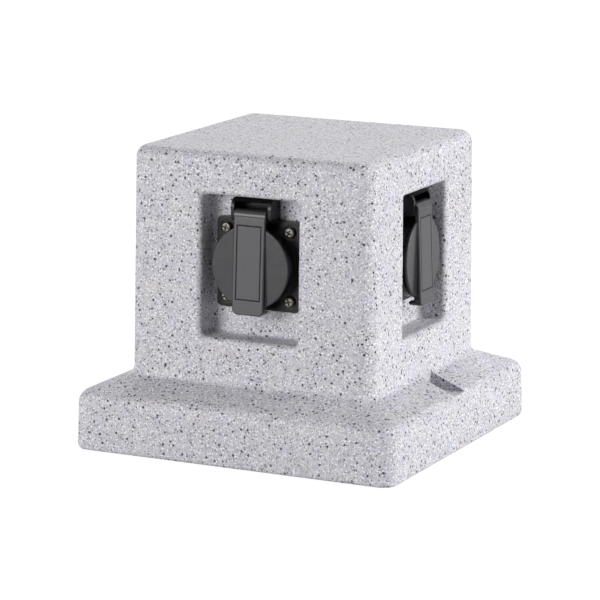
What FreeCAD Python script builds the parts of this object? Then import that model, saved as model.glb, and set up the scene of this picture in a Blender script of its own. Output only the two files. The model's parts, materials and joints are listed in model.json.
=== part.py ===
import FreeCAD, Part
import Sketcher
import math
import os
import re

# Garden socket block: a stone-look moulded block on a wide foot, with a sunk
# pocket in each side and a hinged-lid mains socket in each pocket. Millimetres.
# Frame: +Z up, origin at the centre of the foot's underside, front pocket at -Y.

doc = FreeCAD.newDocument("socket_block")
sheet = doc.addObject("Spreadsheet::Sheet", "Sizes")

SIZES = [
    # Housing outside
    ("total_height", 168.2),
    ("top_width", 144.0),
    ("waist_width", 146.3),
    ("shoulder_width", 191.2),
    ("foot_width", 192.6),
    ("shoulder_level", 31.5),
    ("waist_level", 41.0),
    ("body_corner", 9.5),
    ("foot_corner", 7.0),
    ("top_round", 7.0),
    ("top_corner", 3.0),
    ("shoulder_round", 7.0),
    ("waist_round", 5.5),
    ("foot_round", 3.0),
    # How far a cut runs past the face that it opens
    ("overcut", 1.0),
    # Housing inside
    ("wall", 4.5),
    ("skirt_level", 27.0),
    ("skirt_wall", 3.2),
    ("boss_side", 12.0),
    ("boss_over", 4.0),
    # Pockets
    ("pocket_width", 58.0),
    ("pocket_low", 66.0),
    ("pocket_high", 144.6),
    ("pocket_reach", 57.1),
    ("pocket_corner", 2.0),
    ("pocket_lip", 2.0),
    ("lip_over", 0.5),
    ("pocket_wall", 4.0),
    # Ground fixings
    ("fixing_spacing", 166.0),
    ("fixing_hole", 6.0),
    ("fixing_column", 13.0),
    ("recess_width", 15.0),
    ("recess_level", 31.5),
    ("recess_inner", 73.5),
    ("recess_wall", 3.5),
    ("recess_round", 1.0),
    # Socket frame, measured outwards from the pocket floor
    ("socket_height", 106.5),
    ("gasket_thick", 1.0),
    ("gasket_fit", 0.3),
    ("flange_side", 50.0),
    ("flange_thick", 2.5),
    ("flange_corner", 3.0),
    ("screw_spacing", 38.0),
    ("screw_hole", 3.6),
    ("collar_dia", 44.6),
    ("rim_reach", 11.3),
    ("well_dia", 39.0),
    ("well_depth", 17.5),
    ("well_floor", 2.0),
    ("rear_across", 42.6),
    ("rear_fit", 0.3),
    ("pin_spacing", 19.0),
    ("pin_hole", 5.4),
    ("slot_width", 9.4),
    ("slot_open", 1.5),
    ("slot_height", 17.6),
    # Hood and hinge
    ("hinge_rise", 28.0),
    ("hinge_reach", 11.3),
    ("hood_gap", 20.0),
    ("ear_thick", 2.0),
    ("hood_rise", 37.0),
    ("hood_reach", 13.2),
    ("hood_round", 3.0),
    ("hood_roof", 1.7),
    ("ear_low", 24.3),
    ("ear_round", 3.5),
    ("hinge_pin_dia", 2.4),
    ("hinge_fit", 0.1),
    # Lid
    ("lid_dia", 46.0),
    ("lid_thick", 1.7),
    ("seal_thick", 1.0),
    ("seal_dia", 43.0),
    ("seal_gap", 0.2),
    ("strap_width", 19.0),
    ("knuckle_radius", 3.5),
    ("strap_stand", 3.0),
    ("tab_low", 26.0),
    ("tab_wall", 2.0),
    ("tab_depth", 7.7),
    ("tab_round", 2.0),
    ("tab_corner", 3.0),
    ("tab_tip_round", 0.95),
    ("spring_room", 9.0),
    ("spring_fit", 0.15),
    # Spring
    ("spring_wire", 0.7),
    ("spring_bore", 3.2),
    ("spring_length", 7.0),
    ("leg_slant", 2.0),
    ("leg_fit", 0.1),
    # Flange screws
    ("head_dia", 6.4),
    ("head_high", 1.9),
    ("shank_dia", 3.0),
    ("shank_length", 8.0),
    # Rear parts
    ("base_width", 38.0),
    ("base_high", 30.0),
    ("base_depth", 14.0),
    ("cell_side", 8.0),
    ("cell_depth", 11.0),
    ("strip_thick", 0.8),
    ("contact_width", 6.6),
    ("contact_high", 6.0),
    ("contact_length", 10.0),
    ("clip_width", 8.4),
    ("clip_reach", 2.5),
    ("clip_bow", 1.6),
    ("clip_fit", 0.1),
    ("clamp_screw_across", 4.0),
    ("clamp_screw_high", 2.4),
    # Base plate
    ("seat_thick", 2.0),
    ("plate_thick", 3.0),
    ("plate_corner", 5.0),
    ("plate_screw_spacing", 124.0),
    ("plate_screw_dia", 3.5),
    ("plate_screw_hole", 4.2),
    ("plate_screw_length", 14.0),
    ("plate_head_dia", 7.0),
    ("plate_head_high", 2.4),
    ("pilot_fit", 0.05),
    ("spout_bore", 13.0),
    ("spout_wall", 2.5),
    ("spout_length", 12.0),
    ("strip_length", 48.0),
    ("strip_width", 17.0),
    ("strip_high", 14.0),
    ("strip_offset", 34.0),
]
for row, (alias, amount) in enumerate(SIZES, start=1):
    sheet.set(f"A{row}", alias)
    sheet.set(f"B{row}", str(amount))
    sheet.setAlias(f"B{row}", alias)
doc.recompute()
ALIASES = {alias for alias, amount in SIZES}
SIDES = {"front": 0, "right": 90, "back": 180, "left": 270}
START, END, CENTRE = 1, 2, 3
ORIGIN = (-1, 1)
# Sides of the round forms that repeat: large, middling and small ones, screws.
LARGE, MIDDLING, SMALL, HEAD, SHANK = 32, 24, 12, 8, 6


def formula(text):
    """Write each name of the sheet in full, as the document's expressions need it."""
    return re.sub(r"[a-z_]+", lambda word: f"Sizes.{word[0]}" if word[0] in ALIASES else word[0], text)


def value(text):
    return float(sheet.evalExpression(formula(text)))


def bind(thing, **rules):
    for name, rule in rules.items():
        thing.setExpression(name.replace("__", "."), formula(rule))


def new_body(label):
    body = doc.addObject("PartDesign::Body", label)
    body.Label = label
    return body


def new_sketch(body, name, plane, level="0"):
    """A sketch on one of the body's own planes, moved along the plane's normal."""
    sketch = body.newObject("Sketcher::SketchObject", name)
    support = next(f for f in body.Origin.OriginFeatures if f.Role == plane)
    sketch.AttachmentSupport = [(support, "")]
    sketch.MapMode = "FlatFace"
    bind(sketch, AttachmentOffset__Base__z=level)
    return sketch


def fix_point(sketch, geometry, spot, across, up):
    """Hold a point of the sketch at two distances from its origin."""
    for kind, rule in (("DistanceX", across), ("DistanceY", up)):
        constraint = Sketcher.Constraint(kind, *ORIGIN, geometry, spot, value(rule))
        sketch.setExpression(f"Constraints[{sketch.addConstraint(constraint)}]", formula(rule))


def draw_outline(sketch, corners):
    """Close an outline through corners, each (across, up) or (across, up, radius)."""
    spots = [FreeCAD.Vector(value(corner[0]), value(corner[1]), 0) for corner in corners]
    count = len(corners)
    cuts = []
    for i, corner in enumerate(corners):
        back = (spots[i - 1] - spots[i]).normalize()
        ahead = (spots[(i + 1) % count] - spots[i]).normalize()
        reach = value(corner[2]) / math.tan(back.getAngle(ahead) / 2) if len(corner) == 3 else 0
        cuts.append((spots[i] + back * reach, spots[i] + ahead * reach))
    lines = [
        sketch.addGeometry(Part.LineSegment(cuts[i][1], cuts[(i + 1) % count][0])) for i in range(count)
    ]
    for i, corner in enumerate(corners):
        before, after = lines[i - 1], lines[i]
        if len(corner) == 2:
            sketch.addConstraint(Sketcher.Constraint("Coincident", before, END, after, START))
            fix_point(sketch, after, START, corner[0], corner[1])
            continue
        entry, leave = cuts[i]
        radius = value(corner[2])
        inward = (entry + leave) * 0.5 - spots[i]
        centre = spots[i] + inward * ((entry - spots[i]).Length ** 2 + radius ** 2) ** 0.5 * (1 / inward.Length)
        turn = (entry - spots[i - 1]).cross(leave - entry).z
        first, last = (entry, leave) if turn > 0 else (leave, entry)
        angles = [math.atan2(p.y - centre.y, p.x - centre.x) for p in (first, last)]
        circle = Part.Circle(centre, FreeCAD.Vector(0, 0, 1), radius)
        arc = sketch.addGeometry(Part.ArcOfCircle(circle, angles[0], angles[1]))
        near, far = (START, END) if turn > 0 else (END, START)
        sketch.addConstraint(Sketcher.Constraint("Tangent", before, END, arc, near))
        sketch.addConstraint(Sketcher.Constraint("Tangent", arc, far, after, START))
        bound = sketch.addConstraint(Sketcher.Constraint("Radius", arc, radius))
        sketch.setExpression(f"Constraints[{bound}]", formula(corner[2]))
        tip = sketch.addGeometry(Part.Point(spots[i]), True)
        sketch.addConstraint(Sketcher.Constraint("PointOnObject", tip, START, before))
        sketch.addConstraint(Sketcher.Constraint("PointOnObject", tip, START, after))
        fix_point(sketch, tip, START, corner[0], corner[1])


def draw_box(sketch, half, low, high, radius=None):
    """An upright box outline, centred across, with its corners rounded by radius."""
    ends = [(f"-({half})", low), (half, low), (half, high), (f"-({half})", high)]
    draw_outline(sketch, [end + (radius,) for end in ends] if radius else ends)


def draw_eased_box(sketch, half, low, high, radius):
    """A box outline whose corners are rounded by two flats each."""
    left, right = f"-({half}) + ({radius})", f"{half} - ({radius})"
    below, above = f"{low} + ({radius})", f"{high} - ({radius})"
    corners = []
    for start, across, up in ((180, left, below), (270, right, below), (0, right, above), (90, left, above)):
        for turn in (start, start + 45, start + 90):
            corners.append((f"{across} + ({radius}) * cos({turn} deg)", f"{up} + ({radius}) * sin({turn} deg)"))
    draw_outline(sketch, corners)


def draw_octagon(sketch, flat, slant):
    """Eight sides: four at flat from the centre, and four between them, at slant from it."""
    short, long = f"(sqrt(2) * ({slant}) - ({flat}))", f"({flat})"
    draw_outline(sketch, [
        (long, f"-{short}"), (long, short), (short, long), (f"-{short}", long),
        (f"-{long}", short), (f"-{long}", f"-{short}"), (f"-{short}", f"-{long}"), (short, f"-{long}"),
    ])


def draw_polygon(sketch, across, up, diameter, sides):
    """A small or hidden round outline, drawn with few sides."""
    turns = [360 / sides * i for i in range(sides)]
    draw_outline(sketch, [
        (f"{across} + ({diameter}) / 2 * cos({turn} deg)", f"{up} + ({diameter}) / 2 * sin({turn} deg)")
        for turn in turns
    ])


def draw_circle(sketch, across, up, diameter):
    centre = FreeCAD.Vector(value(across), value(up), 0)
    circle = sketch.addGeometry(Part.Circle(centre, FreeCAD.Vector(0, 0, 1), value(diameter) / 2))
    fix_point(sketch, circle, CENTRE, across, up)
    bound = sketch.addConstraint(Sketcher.Constraint("Diameter", circle, value(diameter)))
    sketch.setExpression(f"Constraints[{bound}]", formula(diameter))


def pad(body, name, sketch, length, **options):
    feature = body.newObject("PartDesign::Pad", name)
    feature.Profile = sketch
    bind(feature, Length=length)
    for option, setting in options.items():
        setattr(feature, option, setting)
    doc.recompute()
    return feature


def cut(body, name, sketch, length, **options):
    """A pocket, which has to take material away."""
    before = body.Shape.Volume
    feature = body.newObject("PartDesign::Pocket", name)
    feature.Profile = sketch
    bind(feature, Length=length)
    for option, setting in options.items():
        setattr(feature, option, setting)
    doc.recompute()
    if feature.Shape.Volume > before - 0.01:
        raise ValueError(f"{name} of {body.Label} cuts nothing")
    return feature


def prism(body, name, kind, sides, diameter, height, across="0", up="0", level="0", along_x=False):
    """A round boss or hole of a piece that repeats, drawn with few sides."""
    before = body.Shape.Volume if body.Tip else 0
    feature = body.newObject(f"PartDesign::{kind}Prism", name)
    feature.Polygon = sides
    if along_x:
        feature.Placement = FreeCAD.Placement(FreeCAD.Vector(), FreeCAD.Rotation(FreeCAD.Vector(0, 1, 0), 90))
        across = f"-({height}) / 2"
    bind(feature, Circumradius=f"({diameter}) / 2", Height=height, Placement__Base__x=across,
         Placement__Base__y=up, Placement__Base__z=level)
    doc.recompute()
    if kind == "Subtractive" and feature.Shape.Volume > before - 0.01:
        raise ValueError(f"{name} of {body.Label} cuts nothing")
    return feature


def hollow(body, name, below, above):
    """Cut a room with four sloping walls between two squares, each given as (half, level)."""
    before = body.Shape.Volume
    feature = body.newObject("PartDesign::SubtractiveWedge", name)
    feature.Placement = FreeCAD.Placement(FreeCAD.Vector(), FreeCAD.Rotation(FreeCAD.Vector(1, 0, 0), 90))
    low_half, low_level = below
    high_half, high_level = above
    bind(feature, Ymin=low_level, Ymax=high_level,
         Xmin=f"-({low_half})", Xmax=low_half, Zmin=f"-({low_half})", Zmax=low_half,
         X2min=f"-({high_half})", X2max=high_half, Z2min=f"-({high_half})", Z2max=high_half)
    doc.recompute()
    if feature.Shape.Volume > before - 0.01:
        raise ValueError(f"{name} of {body.Label} cuts nothing")


def spin(body, name, features, count):
    """Repeat features evenly about the body's upright axis."""
    pattern = body.newObject("PartDesign::PolarPattern", name)
    pattern.Originals = features
    axis = next(f for f in body.Origin.OriginFeatures if f.Role == "Z_Axis")
    pattern.Axis = (axis, [""])
    pattern.Angle = 360
    pattern.Occurrences = count
    body.Tip = pattern
    doc.recompute()
    return pattern


def stations(start, corner, finish, radius, steps):
    """Points along the arc that rounds a corner of a side outline, as formulas.

    start, corner and finish are (half, level) formulas of the two straight runs' ends."""
    way_in = f"atan2({corner[1]} - ({start[1]}); {corner[0]} - ({start[0]}))"
    way_out = f"atan2({finish[1]} - ({corner[1]}); {finish[0]} - ({corner[0]}))"
    turn = f"({way_out} - {way_in})"
    reach = f"(({radius}) * tan({turn} / 2))"
    points = []
    for step in range(steps + 1):
        angle = f"({way_in} + {turn} * {step / steps})"
        half = f"{corner[0]} - {reach} * cos({way_in}) + ({radius}) * (sin{angle} - sin({way_in}))"
        level = f"{corner[1]} - {reach} * sin({way_in}) - ({radius}) * (cos{angle} - cos({way_in}))"
        points.append((half, level))
    return points


def loft(body, name, kind, sections):
    feature = body.newObject(f"PartDesign::{kind}", name)
    feature.Profile = sections[0]
    feature.Sections = sections[1:]
    feature.Ruled = True
    doc.recompute()
    return feature


# Housing: one hollow moulding, open below. Its outside is lofted through rounded
# squares that follow the side's outline: foot, shoulder, sloped flange, waist, top.
housing = new_body("housing")
foot_half, shoulder_half = "foot_width / 2", "shoulder_width / 2"
waist_half, top_half = "waist_width / 2", "top_width / 2"
foot_edge = (foot_half, "0")
shoulder_edge = (shoulder_half, "shoulder_level")
waist_edge = (waist_half, "waist_level")
top_edge = (top_half, "total_height")
centre_below, centre_above = ("0", "0"), ("0", "total_height")
side_outline = (
    [(point, f"foot_corner - foot_round * {1 - i}")
     for i, point in enumerate(stations(centre_below, foot_edge, shoulder_edge, "foot_round", 1))]
    + [(point, "foot_corner") for point in stations(foot_edge, shoulder_edge, waist_edge, "shoulder_round", 3)]
    + [(point, "body_corner") for point in stations(shoulder_edge, waist_edge, top_edge, "-waist_round", 2)]
    + [(point, f"body_corner - (body_corner - top_corner) * {i / 3}")
       for i, point in enumerate(stations(waist_edge, top_edge, centre_above, "top_round", 3))]
)
sections = []
for i, ((half, level), corner) in enumerate(side_outline):
    section = new_sketch(housing, f"outside_{i}", "XY_Plane", level)
    draw_box(section, half, f"-({half})", half, corner)
    sections.append(section)
loft(housing, "outside", "AdditiveLoft", sections)

# The room inside follows the outside one wall further in.
slope = "((waist_level - shoulder_level) * 2 / (shoulder_width - waist_width))"
under_slope = f"(wall * ({slope} - sqrt(1 + {slope} * {slope})))"
room = [
    (f"{foot_half} - wall", "-overcut"),
    (f"{shoulder_half} - wall", f"shoulder_level + {under_slope}"),
    (f"{waist_half} - wall", f"waist_level + {under_slope}"),
    (f"{top_half} - wall", "total_height - wall"),
]
for name, below, above in zip(("foot_room", "flange_room", "body_room"), room, room[1:]):
    hollow(housing, name, below, above)

# A skirt carries the body's walls down to the base gasket, and corner blocks
# behind it take the base plate's screws.
skirt_inner = f"({waist_half} - wall)"
skirt_outer = f"({skirt_inner} + skirt_wall)"
skirt = new_sketch(housing, "skirt_outline", "XY_Plane", "skirt_level")
draw_box(skirt, skirt_outer, f"-{skirt_outer}", skirt_outer)
draw_box(skirt, skirt_inner, f"-{skirt_inner}", skirt_inner)
pad(housing, "skirt", skirt, f"waist_level - skirt_level + {under_slope} + wall / 2")
block = new_sketch(housing, "block_outline", "XY_Plane", "skirt_level - seat_thick")
block_inner = f"({skirt_inner} - boss_side)"
draw_outline(block, [(x, y) for x, y in (
    (block_inner, block_inner), (skirt_inner, block_inner),
    (skirt_inner, skirt_inner), (block_inner, skirt_inner))])
block = pad(housing, "block", block, "plate_screw_length + boss_over + seat_thick")
pilot = new_sketch(housing, "pilot_outline", "XY_Plane", "skirt_level - seat_thick")
draw_polygon(pilot, "plate_screw_spacing / 2", "plate_screw_spacing / 2", "plate_screw_dia + 2 * pilot_fit", HEAD)
pilot = cut(housing, "pilot", pilot, "plate_screw_length - plate_thick + overcut", Reversed=True)
spin(housing, "blocks", [block, pilot], 4)

# Pocket boxes stand inside the walls, and the pockets are lofted out of them:
# a straight part and a lip that flares into the body's slightly sloping face.
pocket_half = "pocket_width / 2"
case = new_sketch(housing, "case_outline", "XZ_Plane", "pocket_reach - pocket_wall")
case_half = f"({pocket_half} + pocket_wall)"
draw_box(case, case_half, "pocket_low - pocket_wall", "pocket_high + pocket_wall")
case = pad(housing, "case", case, f"{top_half} - wall / 2 - pocket_reach + pocket_wall")
draft = "atan((waist_width - top_width) / 2 / (total_height - waist_level))"
pocket_middle = "(pocket_low + pocket_high) / 2"
face_reach = f"({top_half} + (total_height - {pocket_middle}) * tan({draft}))"
mouth = [
    ("0", f"pocket_reach - {face_reach}"),
    ("0", "-pocket_lip"),
    ("pocket_lip + lip_over", "lip_over"),
]
sections = []
for i, (grow, out) in enumerate(mouth):
    section = new_sketch(housing, f"mouth_{i}", "XZ_Plane", f"{face_reach} + {out}")
    if i:
        bind(section, AttachmentOffset__Rotation__Angle=f"-{draft}",
             AttachmentOffset__Base__y=f"{pocket_middle}")
        low, high = f"-(pocket_high - pocket_low) / 2 - {grow}", f"(pocket_high - pocket_low) / 2 + {grow}"
    else:
        low, high = f"pocket_low - {grow}", f"pocket_high + {grow}"
    draw_eased_box(section, f"{pocket_half} + {grow}", low, high, f"pocket_corner + {grow}")
    sections.append(section)
mouth = loft(housing, "mouth", "SubtractiveLoft", sections)
rear_hole = new_sketch(housing, "rear_hole_outline", "XZ_Plane", "pocket_reach + overcut")
bind(rear_hole, AttachmentOffset__Base__y="socket_height")
draw_octagon(rear_hole, "rear_across / 2 + rear_fit", "rear_across / 2 + rear_fit")
for across in ("-", ""):
    for up in ("-", ""):
        spot = (f"{across}screw_spacing / 2", f"{up}screw_spacing / 2")
        draw_polygon(rear_hole, *spot, "shank_dia + 2 * pilot_fit", SHANK)
rear_hole = cut(housing, "rear_hole", rear_hole, "pocket_wall + 2 * overcut")
spin(housing, "pockets", [case, mouth, rear_hole], 4)

# Two ground fixings in the flange: a level recess for the screw head, and a
# hollow column from it down to the ground.
seat_inner, seat_outer = "(recess_inner - recess_wall)", f"({shoulder_half} - wall / 2)"
seat = new_sketch(housing, "seat_outline", "XZ_Plane")
draw_outline(seat, [
    (seat_inner, "recess_level - recess_wall"),
    (seat_outer, "recess_level - recess_wall"),
    (seat_outer, f"shoulder_level + ({shoulder_half} - {seat_outer}) * {slope} - wall / 2"),
    (seat_inner, f"shoulder_level + ({shoulder_half} - {seat_inner}) * {slope} - wall / 2"),
])
seat = pad(housing, "seat", seat, "recess_width + 2 * recess_wall", Midplane=True)
column = new_sketch(housing, "column_outline", "XY_Plane")
draw_polygon(column, "fixing_spacing / 2", "0", "fixing_column", SMALL)
column = pad(housing, "column", column, "recess_level - recess_wall / 2")
recess = new_sketch(housing, "recess_outline", "XY_Plane", "recess_level")
draw_outline(recess, [
    ("recess_inner", "-recess_width / 2", "recess_round"),
    ("foot_width / 2", "-recess_width / 2"),
    ("foot_width / 2", "recess_width / 2"),
    ("recess_inner", "recess_width / 2", "recess_round"),
])
recess = cut(housing, "recess", recess, "waist_level", Reversed=True)
fixing = new_sketch(housing, "fixing_outline", "XY_Plane", "recess_level")
draw_circle(fixing, "fixing_spacing / 2", "0", "fixing_hole")
fixing = cut(housing, "fixing", fixing, "recess_level + overcut")
spin(housing, "fixings", [seat, column, recess, fixing], 2)


# The pieces of one socket are built on the floor of the front pocket. There their
# own Z points out of the pocket and their own Y points up.
SEAT = FreeCAD.Rotation(FreeCAD.Vector(1, 0, 0), 90)


def seat_on(thing, outward="0", across="0", rise="0"):
    thing.Placement = FreeCAD.Placement(FreeCAD.Vector(), SEAT)
    bind(thing, Placement__Base__x=across, Placement__Base__y=f"-(pocket_reach + {outward})",
         Placement__Base__z=f"socket_height + {rise}")


def repeat(piece, label, angle):
    """The same piece on another side of the block."""
    again = doc.addObject("Part::Compound", label)
    again.Label = label
    again.Links = [piece]
    again.Placement = FreeCAD.Placement(FreeCAD.Vector(), FreeCAD.Rotation(FreeCAD.Vector(0, 0, 1), angle))
    return again


def group(label, kind, parts):
    together = doc.addObject(kind, label)
    together.Label = label
    setattr(together, "Shapes" if kind == "Part::MultiFuse" else "Links", parts)
    return together


# Socket frame: one black moulding with flange, collar, well and hinge hood.
flange_front = "(gasket_thick + flange_thick)"
well_level = "(rim_reach - well_depth)"
rear_level = f"({well_level} - well_floor)"
hood_half = "(hood_gap / 2 + ear_thick)"
frame = new_body("front_frame")
plate = new_sketch(frame, "flange_outline", "XY_Plane", "gasket_thick")
draw_box(plate, "flange_side / 2", "-flange_side / 2", "flange_side / 2", "flange_corner")
pad(frame, "flange", plate, "flange_thick")
prism(frame, "collar", "Additive", LARGE, "collar_dia", "rim_reach - gasket_thick", level="gasket_thick")
rear = new_sketch(frame, "rear_outline", "XY_Plane", rear_level)
draw_octagon(rear, "rear_across / 2", "rear_across / 2")
pad(frame, "rear", rear, f"gasket_thick + flange_thick / 2 - {rear_level}")
hood = new_sketch(frame, "hood_outline", "YZ_Plane")
draw_outline(hood, [
    ("ear_low", "gasket_thick"),
    ("ear_low", "hood_reach", "ear_round"),
    ("hood_rise", "hood_reach", "hood_round"),
    ("hood_rise", "gasket_thick"),
])
pad(frame, "hood", hood, f"2 * {hood_half}", Midplane=True)
gap = new_sketch(frame, "gap_outline", "YZ_Plane")
draw_outline(gap, [
    ("ear_low - overcut", flange_front),
    ("ear_low - overcut", "hood_reach + overcut"),
    ("hood_rise - hood_roof", "hood_reach + overcut"),
    ("hood_rise - hood_roof", flange_front),
])
cut(frame, "gap", gap, "hood_gap", Midplane=True)
prism(frame, "well", "Subtractive", LARGE, "well_dia", "well_depth + overcut", level=well_level)
slots = new_sketch(frame, "slot_outline", "XY_Plane", well_level)
draw_box(slots, "slot_width / 2", "slot_height - slot_open / 2", "slot_height + slot_open / 2")
draw_box(slots, "slot_width / 2", "-slot_height - slot_open / 2", "-slot_height + slot_open / 2")
cut(frame, "slots", slots, "well_floor + overcut")
for across in ("-", ""):
    prism(frame, "pin_hole", "Subtractive", SMALL, "pin_hole", "well_floor + 2 * overcut",
          f"{across}pin_spacing / 2", level=f"{rear_level} - overcut")
    for up in ("-", ""):
        prism(frame, "screw_hole", "Subtractive", HEAD, "screw_hole", "flange_thick + 2 * overcut",
              f"{across}screw_spacing / 2", f"{up}screw_spacing / 2", "gasket_thick - overcut")
seat_on(frame)

# Gasket: a rubber ring under the flange, its corners cut off clear of the screws.
gasket = new_body("front_gasket")
ring = new_sketch(gasket, "ring_outline", "XY_Plane")
draw_octagon(ring, "flange_side / 2", "screw_spacing / sqrt(2) - screw_hole / 2 - gasket_fit")
draw_octagon(ring, "rear_across / 2 + rear_fit", "rear_across / 2 + rear_fit")
pad(gasket, "ring", ring, "gasket_thick")
seat_on(gasket)

# Lid: a disc on a strap that ends in the hinge knuckle above and a finger tab below.
lid_back = "(rim_reach + seal_gap + seal_thick)"
lid_front = f"({lid_back} + lid_thick)"
strap_front = f"({lid_front} + strap_stand)"
lid = new_body("front_lid")
strap = new_sketch(lid, "strap_outline", "YZ_Plane")
draw_outline(strap, [
    ("hinge_rise", lid_back),
    ("hinge_rise", "hinge_reach + knuckle_radius"),
    ("-tab_low", strap_front, "tab_round"),
    ("-tab_low", f"{strap_front} - tab_depth", "tab_tip_round"),
    ("tab_wall - tab_low", f"{strap_front} - tab_depth"),
    ("tab_wall - tab_low", lid_back),
])
pad(lid, "strap", strap, "strap_width", Midplane=True)
corners = new_sketch(lid, "corner_outline", "XY_Plane")
draw_box(corners, "strap_width", "-tab_low - tab_corner", "hinge_rise - knuckle_radius")
strap_half = "strap_width / 2"
draw_outline(corners, [
    (f"-{strap_half}", "-tab_low", "tab_corner"),
    (strap_half, "-tab_low", "tab_corner"),
    (strap_half, "hinge_rise - knuckle_radius - overcut"),
    (f"-{strap_half}", "hinge_rise - knuckle_radius - overcut"),
])
cut(lid, "corners", corners, f"{strap_front} + overcut", Reversed=True)
prism(lid, "knuckle", "Additive", MIDDLING, "2 * knuckle_radius", "strap_width",
      up="hinge_rise", level="hinge_reach", along_x=True)
prism(lid, "disc", "Additive", LARGE, "lid_dia", "lid_thick", level=lid_back)
spring_radius = "(spring_bore / 2 + spring_wire)"
spring_clear = f"({spring_radius} + spring_fit)"
room = new_sketch(lid, "room_outline", "YZ_Plane")
room_low, room_back = "hinge_rise - knuckle_radius - overcut", "hinge_reach - knuckle_radius - overcut"
draw_outline(room, [
    (room_low, room_back),
    (room_low, f"hinge_reach + {spring_clear}"),
    (f"hinge_rise + {spring_clear}", f"hinge_reach + {spring_clear}"),
    (f"hinge_rise + {spring_clear}", "hinge_reach - spring_wire"),
    ("hinge_rise + knuckle_radius + overcut", "hinge_reach - spring_wire"),
    ("hinge_rise + knuckle_radius + overcut", room_back),
])
cut(lid, "spring_room", room, "spring_room", Midplane=True)
prism(lid, "bore", "Subtractive", SMALL, "hinge_pin_dia + 2 * hinge_fit", "strap_width + 2 * overcut",
      up="hinge_rise", level="hinge_reach", along_x=True)
seat_on(lid)

# Lid seal: a flat rubber disc behind the lid, just clear of the collar's rim.
seal = doc.addObject("Part::Prism", "front_lid_seal")
seal.Polygon = MIDDLING
bind(seal, Circumradius="seal_dia / 2", Height="seal_thick")
seat_on(seal, "rim_reach + seal_gap")

# Closing spring: the wound length as one sleeve, with the leg that presses on the flange.
spring = new_body("front_spring")
prism(spring, "coil", "Additive", SMALL, f"2 * {spring_radius}", "spring_length",
      up="hinge_rise", level="hinge_reach", along_x=True)
leg = new_sketch(spring, "leg_outline", "YZ_Plane", "spring_length / 2 - spring_wire")
leg_top = f"hinge_rise - {spring_radius} + spring_wire"
draw_outline(leg, [
    (leg_top, "hinge_reach"),
    (f"{leg_top} - leg_slant", f"{flange_front} + leg_fit"),
    (f"{leg_top} - leg_slant - spring_wire", f"{flange_front} + leg_fit"),
    (f"{leg_top} - spring_wire", "hinge_reach"),
])
pad(spring, "leg", leg, "spring_wire")
prism(spring, "coil_bore", "Subtractive", SMALL, "spring_bore", "spring_length + 2 * overcut",
      up="hinge_rise", level="hinge_reach", along_x=True)
seat_on(spring)

# Hinge pin: pressed into the hood's two ears, through the knuckle and the spring.
pin = doc.addObject("Part::Cylinder", "front_hinge_pin")
pin_length = "(hood_gap + ear_thick)"
pin.Placement = FreeCAD.Placement(FreeCAD.Vector(), FreeCAD.Rotation(FreeCAD.Vector(0, 1, 0), 90))
bind(pin, Radius="hinge_pin_dia / 2", Height=pin_length, Placement__Base__x=f"-{pin_length} / 2",
     Placement__Base__y="-(pocket_reach + hinge_reach)", Placement__Base__z="socket_height + hinge_rise")

# Terminal base: the block behind the well, with a cell for each pin contact and a
# groove for the earth clip.
base = new_body("front_terminal_base")
block = new_sketch(base, "block_outline", "XY_Plane", rear_level)
draw_box(block, "base_width / 2", "-base_high / 2", "base_high / 2")
pad(base, "block", block, "base_depth", Reversed=True)
cells = new_sketch(base, "cell_outline", "XY_Plane", rear_level)
cell_high = ("-cell_side / 2", "cell_side / 2")
for side in ("-", ""):
    near, far = f"{side}pin_spacing / 2 - cell_side / 2", f"{side}pin_spacing / 2 + cell_side / 2"
    draw_outline(cells, [(near, cell_high[0]), (far, cell_high[0]), (far, cell_high[1]), (near, cell_high[1])])
cut(base, "cells", cells, "cell_depth")
groove = new_sketch(base, "groove_outline", "XY_Plane", rear_level)
draw_box(groove, "clip_width / 2 + rear_fit", "-base_high / 2 - overcut", "base_high / 2 + overcut")
cut(base, "groove", groove, "strip_thick + clip_fit")
seat_on(base)

# Pin contacts: two U-bent brass strips that grip a plug's pins.
contacts = new_body("front_pin_contacts")
strips = new_sketch(contacts, "strip_outline", "XZ_Plane")
cell_floor = f"({rear_level} - cell_depth)"
strip_outer, strip_inner = "contact_width / 2", "(contact_width / 2 - strip_thick)"
for side in ("-", ""):
    middle = f"{side}pin_spacing / 2"
    draw_outline(strips, [
        (f"{middle} - {strip_outer}", cell_floor),
        (f"{middle} + {strip_outer}", cell_floor),
        (f"{middle} + {strip_outer}", f"{cell_floor} + contact_length"),
        (f"{middle} + {strip_inner}", f"{cell_floor} + contact_length"),
        (f"{middle} + {strip_inner}", f"{cell_floor} + strip_thick"),
        (f"{middle} - {strip_inner}", f"{cell_floor} + strip_thick"),
        (f"{middle} - {strip_inner}", f"{cell_floor} + contact_length"),
        (f"{middle} - {strip_outer}", f"{cell_floor} + contact_length"),
    ])
pad(contacts, "strips", strips, "contact_high", Midplane=True)
seat_on(contacts)

# Earth clip: a strip behind the well's floor whose two ends spring inwards in the well.
clip = new_body("front_earth_clip")
clip_outline = new_sketch(clip, "clip_outline", "YZ_Plane")
clip_inner, clip_outer = "(slot_height - strip_thick / 2)", "(slot_height + strip_thick / 2)"
bow_level = f"(({well_level} + clip_reach) / 2)"
arm = [
    (clip_outer, f"{rear_level} - strip_thick"),
    (clip_outer, well_level),
    (f"({clip_outer} - clip_bow)", bow_level),
    (clip_outer, "clip_reach"),
    (clip_inner, "clip_reach"),
    (f"({clip_inner} - clip_bow)", bow_level),
    (clip_inner, well_level),
    (clip_inner, rear_level),
]
draw_outline(clip_outline, arm + [(f"-{up}", out) for up, out in reversed(arm)])
pad(clip, "strip", clip_outline, "clip_width", Midplane=True)
seat_on(clip)

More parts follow.
